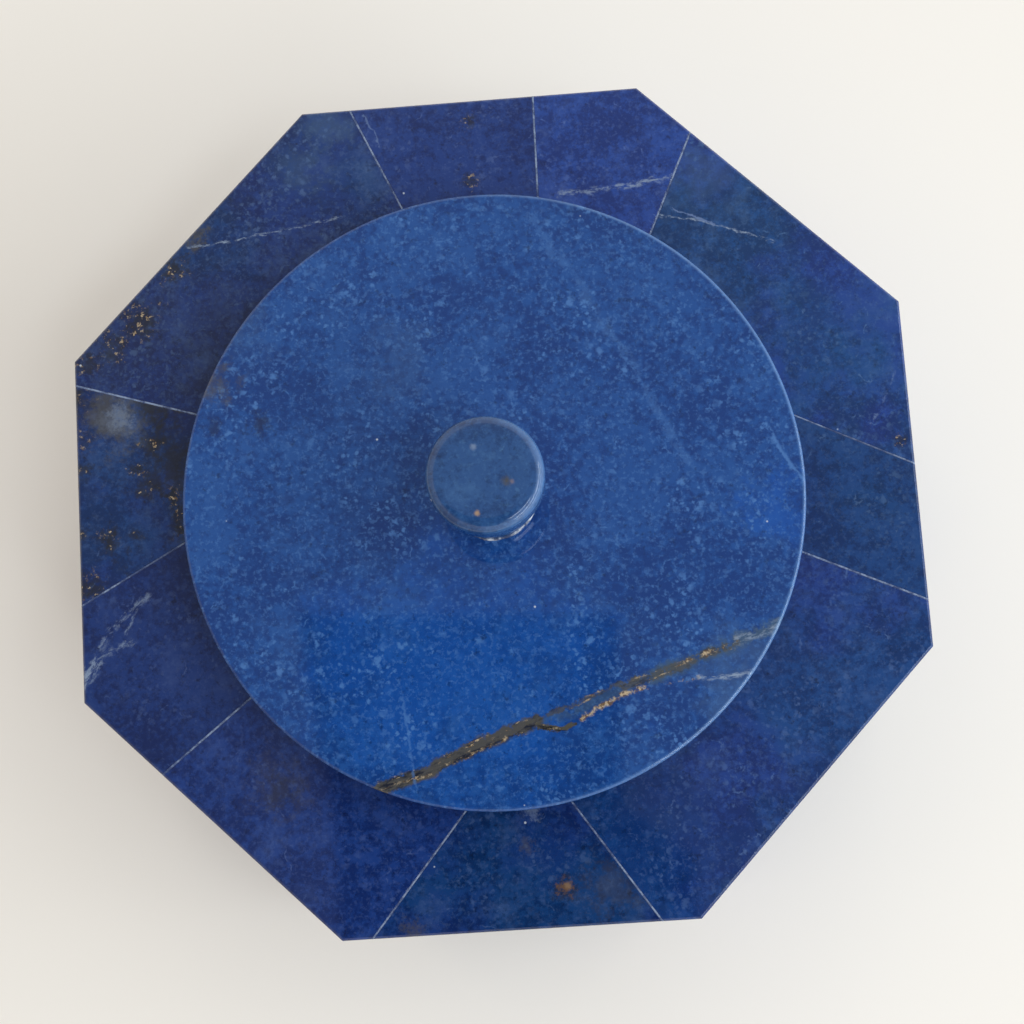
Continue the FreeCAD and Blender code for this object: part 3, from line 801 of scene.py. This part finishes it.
TOP_STONES = {
    1: {
        "tone": "teal",
        "second": "violet",
        "gain": 1.3,
        "cloud": 0.4,
        "patches": [
            {"at": (56.3, 4.4), "radius": 1.1, "kind": "gold", "strength": 0.8},
            {"at": (33, 45), "radius": 8.0, "kind": "teal", "strength": 0.3},
            {"at": (48, 22), "radius": 12.0, "kind": "violet", "strength": 0.3},
        ],
        "veins": [
            {"points": [(26, 38.7), (31.5, 37.8), (37, 35.6), (41.5, 34)], "width": 0.45, "kind": "calcite",
             "strength": 0.9, "broken": 0.3},
            {"points": [(27.5, 40), (31, 38.2), (33.5, 37)], "width": 0.3, "seed": 2},
            {"points": [(40, 42.5), (44, 40.5), (46.5, 38)], "width": 0.4, "strength": 0.8, "seed": 3},
            {"points": [(45, 6.6), (43.3, 1)], "width": 0.5, "strength": 0.8},
            {"points": [(56.5, 14), (54, 9), (52, 6)], "width": 0.6, "strength": 0.7, "broken": 0.5},
        ],
    },
    2: {
        "tone": "violet",
        "gain": 1.42,
        "cloud": 0.2,
        "veins": [
            {"points": [(12, 43.2), (18, 43.4), (23, 43.8), (28, 44.4)], "width": 1.1, "kind": "calcite",
             "strength": 0.75, "broken": 0.3},
        ],
    },
    3: {
        "tone": "violet",
        "gain": 1.02,
        "cloud": 0.2,
        "patches": [
            {"at": (0, 54.8), "radius": 1.3, "kind": "gold", "strength": 0.8},
            {"at": (-0.5, 46.2), "radius": 1.4, "kind": "gold", "strength": 0.8},
        ],
        "veins": [{"points": [(-15.3, 57), (-13.6, 54.2), (-13.2, 52)], "width": 0.35, "strength": 0.7}],
    },
    4: {
        "tone": "navy",
        "second": "violet",
        "gain": 0.92,
        "cloud": 0.55,
        "flecks": 0.8,
        "patches": [
            {"at": (-43.4, 36.5), "radius": 2.8, "kind": "gold"},
            {"at": (-40, 41), "radius": 2.4, "kind": "ore", "strength": 0.7},
            {"at": (-48.6, 29.2), "radius": 3.6, "kind": "gold", "strength": 0.9},
            {"at": (-52.4, 25.6), "radius": 2.8, "kind": "gold", "strength": 0.8},
            {"at": (-56.2, 23.2), "radius": 2.0, "kind": "gold", "strength": 0.8},
            {"at": (-46, 30), "radius": 17.0, "kind": "dark", "strength": 0.3},
            {"at": (-20, 56), "radius": 5.0, "kind": "teal", "strength": 0.4},
            {"at": (-24, 50), "radius": 5.0, "kind": "teal", "strength": 0.3},
        ],
        "veins": [
            {"points": [(-41, 39.4), (-34.5, 40), (-28, 40.8), (-19, 42.2)], "width": 0.4, "kind": "calcite",
             "strength": 0.85, "wobble": 0.8, "broken": 0.25},
        ],
    },
    5: {
        "tone": "navy",
        "second": "violet",
        "gain": 0.92,
        "cloud": 0.4,
        "matrix": 0.5,
        "patches": [
            {"at": (-52.5, 15.5), "radius": 5.5, "kind": "ore", "strength": 0.65},
            {"at": (-51, 14.5), "radius": 4.5, "kind": "pale", "strength": 0.15},
            {"at": (-51.5, 15.5), "radius": 2.4, "kind": "pale", "strength": 0.3},
            {"at": (-46.6, 16), "radius": 4.5, "kind": "dark", "strength": 0.8},
            {"at": (-45, 8), "radius": 6.0, "kind": "dark", "strength": 0.7},
            {"at": (-57, 18), "radius": 2.2, "kind": "gold", "strength": 0.5},
            {"at": (-57, 12.5), "radius": 1.8, "kind": "gold", "strength": 0.5},
            {"at": (-49.7, 7.8), "radius": 1.6, "kind": "gold"},
            {"at": (-44.5, 4), "radius": 1.7, "kind": "gold"},
            {"at": (-43.6, -1), "radius": 1.4, "kind": "gold"},
            {"at": (-53.8, -1.4), "radius": 1.9, "kind": "gold", "strength": 0.9},
            {"at": (-56.4, -8.6), "radius": 2.8, "kind": "gold", "strength": 0.9},
        ],
    },
    6: {
        "tone": "violet",
        "gain": 0.8,
        "cloud": 0.35,
        "veins": [
            {"points": [(-48.5, -10), (-52.7, -13.3), (-55.5, -17)], "width": 1.5, "kind": "calcite",
             "strength": 0.5, "broken": 0.4},
            {"points": [(-50, -11.5), (-52, -15)], "width": 0.5, "kind": "calcite", "strength": 0.5,
             "seed": 7},
            {"points": [(-51, -16.2), (-55, -17.8), (-58, -20.4)], "width": 1.5, "kind": "calcite",
             "strength": 0.55, "broken": 0.4, "seed": 4},
            {"points": [(-56, -18.6), (-58.4, -22)], "width": 2.4, "kind": "calcite", "strength": 0.85,
             "seed": 5},
        ],
    },
    7: {
        "tone": "violet",
        "gain": 1.0,
        "cloud": 0.25,
        "patches": [
            {"at": (-31.5, -37), "radius": 6.0, "kind": "ore", "strength": 0.25},
            {"at": (-31, -38), "radius": 3.0, "kind": "dark", "strength": 0.3},
        ],
    },
    8: {
        "tone": "navy",
        "second": "violet",
        "gain": 0.85,
        "cloud": 0.5,
        "flecks": 0.55,
        "patches": [
            {"at": (6.2, -52.8), "radius": 2.2, "kind": "dark", "strength": 0.6},
            {"at": (6.2, -52.8), "radius": 1.5, "kind": "rust", "strength": 0.9},
            {"at": (6.6, -52.5), "radius": 0.7, "kind": "tan", "strength": 0.3},
            {"at": (1.5, -47), "radius": 1.4, "kind": "ore", "strength": 0.4},
            {"at": (3, -48.5), "radius": 5.5, "kind": "deep", "strength": 0.6},
            {"at": (12, -53), "radius": 5.0, "kind": "ore", "strength": 0.25},
            {"at": (2.5, -42.3), "radius": 1.7, "kind": "pale", "strength": 0.35},
            {"at": (-14.5, -57), "radius": 2.2, "kind": "ore", "strength": 0.5},
        ],
    },
    9: {
        "tone": "navy",
        "second": "violet",
        "gain": 1.15,
        "cloud": 0.25,
        "patches": [{"at": (20, -48), "radius": 14.0, "kind": "deep", "strength": 0.6}],
    },
    10: {"tone": "teal", "second": "navy", "gain": 1.05, "cloud": 0.25},
}

SIDE_MOODS = [
    {"cloud": 0.3, "flecks": 0.3},
    {"cloud": 0.5, "flecks": 0.4, "second": "navy"},
    {"cloud": 0.15, "flecks": 0.2},
    {"cloud": 0.35, "flecks": 0.3, "matrix": 0.4},
    {"cloud": 0.2, "flecks": 0.25, "second": "violet"},
]


KNOB_STONE = {
    "tone": "slate",
    "seed": 3,
    "cloud": 0.5,
    # rim: a painted highlight on the knob's rounded rim, strongest towards +X.
    "rim": (6.2, 7.3, 0.3),
    "patches": [
        {"at": (-1.2, -5.0), "radius": 0.55, "kind": "tan", "strength": 0.9},
        {"at": (2.7, -1.2), "radius": 0.9, "kind": "ore", "strength": 0.8},
        {"at": (3.4, -1.3), "radius": 0.5, "kind": "tan", "strength": 0.35},
        {"at": (-1.2, 3.4), "radius": 0.6, "kind": "pale", "strength": 0.5},
    ],
}

# How far hard edges are rounded over, in millimetres.
STONE_EASE = 0.08
CEMENT_EASE = 0.03
STAVE_EASE = 0.2
BOARD_EASE = 0.3
PIN_EASE = 0.15

# The slabs' seeds count on from these.
TOP_SEED = 10
SIDE_SEED = 30


def build_box():
    for number, stone in TOP_STONES.items():
        node = f"top_slab_{number:02d}"
        eased(node, lapis(f"lapis_{node}", seed=TOP_SEED + number, **stone), STONE_EASE)
    sides = [f"side_slab_{number}_{part}" for number in range(1, SIDES + 1) for part in ("left", "right")]
    for index, node in enumerate(sides):
        tone = SLOTS[node].removeprefix("lapis_")
        mood = SIDE_MOODS[index % len(SIDE_MOODS)]
        eased(node, lapis(f"lapis_{node}", tone, SIDE_SEED + index, **mood), STONE_EASE)
    seams = cement()
    for node in ("top_seam_cement", "face_seam_cement", "corner_seam_cement"):
        eased(node, seams, CEMENT_EASE, segments=1)
    for number in range(1, SIDES + 1):
        node = f"wall_stave_{number}"
        bearing = 90 + (number - 1) * 360 / SIDES
        eased(node, wood(f"wood_{node}", bearing, number), STAVE_EASE)
    eased("floor_board", wood("wood_floor", 0, 11), BOARD_EASE)
    eased("top_board", wood("wood_top_board", 90, 12), BOARD_EASE)
    make_felt(felt())


def build_lid():
    make_lid_disc(lapis("lapis_lid", **LID_STONE))
    make_knob(lapis("lapis_knob", **KNOB_STONE))
    make_knob_cement(bead_cement())
    eased("lid_plug", wood("wood_plug", 20, 13), BOARD_EASE)
    eased("knob_pin", brass(), PIN_EASE)


# The studio. The front is -Y and the left is -X. The lights and the floor's reach are in metres. The floor's
# radii, the card and the camera are in millimetres.

FLOOR_REACH = 2.0
FLOOR_NEAR = ((0.925, 0.900, 0.865), (0.940, 0.915, 0.880))
# The next colour is painted shade: the floor fades to it away from the box, between the two radii below.
FLOOR_FAR_PAINTED_SHADE = (0.860, 0.840, 0.810)
FLOOR_NEAR_RADIUS = 55
FLOOR_FAR_RADIUS = 130

LIGHTS = [
    {"name": "window_top", "place": (0.85, -0.31, 0.7), "size": (1.5, 0.09), "power": 4.6,
     "colour": (0.88, 0.95, 1.0)},
    {"name": "window_foot", "place": (0.95, -0.35, 0.28), "size": (1.5, 0.08), "power": 2.4,
     "colour": (0.80, 0.92, 1.0)},
    {"name": "lamp", "place": (0.28, -0.235, 0.82), "size": (0.3, 0.12), "power": 0.75,
     "colour": (0.85, 0.93, 1.0)},
]

LEFT_WALL = (0.84, 0.70, 0.55)
RIGHT_WALL = (1.21, 1.20, 1.15)
DIM_CORNER = (0.42, 0.38, 0.34)
FRONT_CEILING = (0.27, 0.27, 0.27)
BACK_CEILING = (0.43, 0.43, 0.42)

CARD_HEIGHT = 300
CARD_OUTLINE = [(-68, 9), (22, 3), (20, -50), (38, -64), (45, -220), (-60, -220), (-62, -50)]
CARD_BLACK = (0.008, 0.008, 0.010)
CARD_GREY = (0.013, 0.013, 0.015)

CAMERA_PLACE = (10.1, -35.7, 278.9)
CAMERA_TURNS = (("Z", -4.05), ("X", 8.17), ("Y", 2.47))
CAMERA_LENS = 59.8
CAMERA_SENSOR = 36
CAMERA_CLIP = 0.01


def stage_sheet(name, corners, material):
    """A flat sheet of the studio, which isn't part of the object."""
    mesh = bpy.data.meshes.new(name)
    mesh.from_pydata(corners, [], [tuple(range(len(corners)))])
    mesh.materials.append(material)
    sheet = bpy.data.objects.new(name, mesh)
    bpy.context.scene.collection.objects.link(sheet)
    return sheet


def make_floor():
    """A pale floor, with painted shade that darkens it away from the box."""
    shader = Shader("pale_floor")
    colour = shader.mix(shader.noise(shader.place, size=60, detail=2.0), *FLOOR_NEAR)
    # Painted shade, darker from the near radius out to the far one.
    away = shader.between(shader.vector("LENGTH", shader.place), FLOOR_NEAR_RADIUS, FLOOR_FAR_RADIUS)
    colour = shader.mix(away, colour, FLOOR_FAR_PAINTED_SHADE)
    reach = FLOOR_REACH
    corners = [(-reach, -reach, 0), (reach, -reach, 0), (reach, reach, 0), (-reach, reach, 0)]
    stage_sheet("floor", corners, shader.finish(colour, 0.6, specular=0.3))


def make_card():
    """A dark card beside the lens, seen only in reflections, where it lets the stone's own blue show."""
    shader = Shader("dark_card")
    colour = shader.mix(shader.noise(shader.place, size=30), CARD_BLACK, CARD_GREY)
    corners = [(x * MM, y * MM, CARD_HEIGHT * MM) for x, y in CARD_OUTLINE]
    card = stage_sheet("card", corners, shader.finish(colour, 0.8))
    card.visible_camera = False
    card.visible_diffuse = False
    card.visible_shadow = False


def make_light(name, place, size, power, colour):
    """A rectangular light, aimed at the box."""
    lamp = bpy.data.lights.new(name, "AREA")
    lamp.shape = "RECTANGLE"
    lamp.size, lamp.size_y = size
    lamp.energy = power
    lamp.color = colour
    light = bpy.data.objects.new(name, lamp)
    bpy.context.scene.collection.objects.link(light)
    light.location = place
    light.rotation_euler = (-Vector(place)).to_track_quat("-Z", "Y").to_euler()


def make_world():
    """A pale room, warm on the left, bright on the right, dim low at the front left, with a dark ceiling."""
    world = bpy.data.worlds.new("room")
    bpy.context.scene.world = world
    world.use_nodes = True
    nodes, links = world.node_tree.nodes, world.node_tree.links
    nodes.clear()
    direction = nodes.new("ShaderNodeTexCoord").outputs["Generated"]

    def lean(towards, low, high):
        """How far a direction leans one way, from 0 at the low cosine to 1 at the high one."""
        facing = nodes.new("ShaderNodeVectorMath")
        facing.operation = "DOT_PRODUCT"
        facing.inputs[1].default_value = towards
        links.new(direction, facing.inputs[0])
        share = nodes.new("ShaderNodeMapRange")
        share.inputs["From Min"].default_value = low
        share.inputs["From Max"].default_value = high
        links.new(facing.outputs["Value"], share.inputs["Value"])
        return share.outputs["Result"]

    def blend(share, a, b):
        node = nodes.new("ShaderNodeMix")
        node.data_type = "RGBA"
        links.new(share, node.inputs["Factor"])
        for socket, colour in ((node.inputs[6], a), (node.inputs[7], b)):
            if isinstance(colour, bpy.types.NodeSocket):
                links.new(colour, socket)
            else:
                socket.default_value = (*colour, 1)
        return node.outputs[2]

    right, back = (0.75, 0.35, 0.55), (0, 1, 0)
    low_front_left, overhead = (-0.65, -0.5, -0.57), (0, -0.1, 0.995)
    walls = blend(lean(right, -0.75, 0.85), LEFT_WALL, RIGHT_WALL)
    walls = blend(lean(low_front_left, 0.25, 0.8), walls, DIM_CORNER)
    ceiling = blend(lean(back, 0.0, 0.35), FRONT_CEILING, BACK_CEILING)
    room = blend(lean(overhead, 0.775, 0.895), walls, ceiling)
    background = nodes.new("ShaderNodeBackground")
    links.new(room, background.inputs["Color"])
    output = nodes.new("ShaderNodeOutputWorld")
    links.new(background.outputs["Background"], output.inputs["Surface"])


def make_camera():
    """Almost straight down, from a little in front of the box."""
    camera = bpy.data.objects.new("camera", bpy.data.cameras.new("camera"))
    bpy.context.scene.collection.objects.link(camera)
    camera.data.sensor_width = CAMERA_SENSOR
    camera.data.lens = CAMERA_LENS
    camera.data.clip_start = CAMERA_CLIP
    place = Matrix.Translation(Vector(CAMERA_PLACE) * MM)
    for axis, degrees in CAMERA_TURNS:
        place = place @ Matrix.Rotation(math.radians(degrees), 4, axis)
    camera.matrix_world = place
    bpy.context.scene.camera = camera


build_box()
build_lid()
make_floor()
make_world()
for light in LIGHTS:
    make_light(**light)
make_card()
make_camera()
bpy.context.scene.view_settings.view_transform = "Standard"
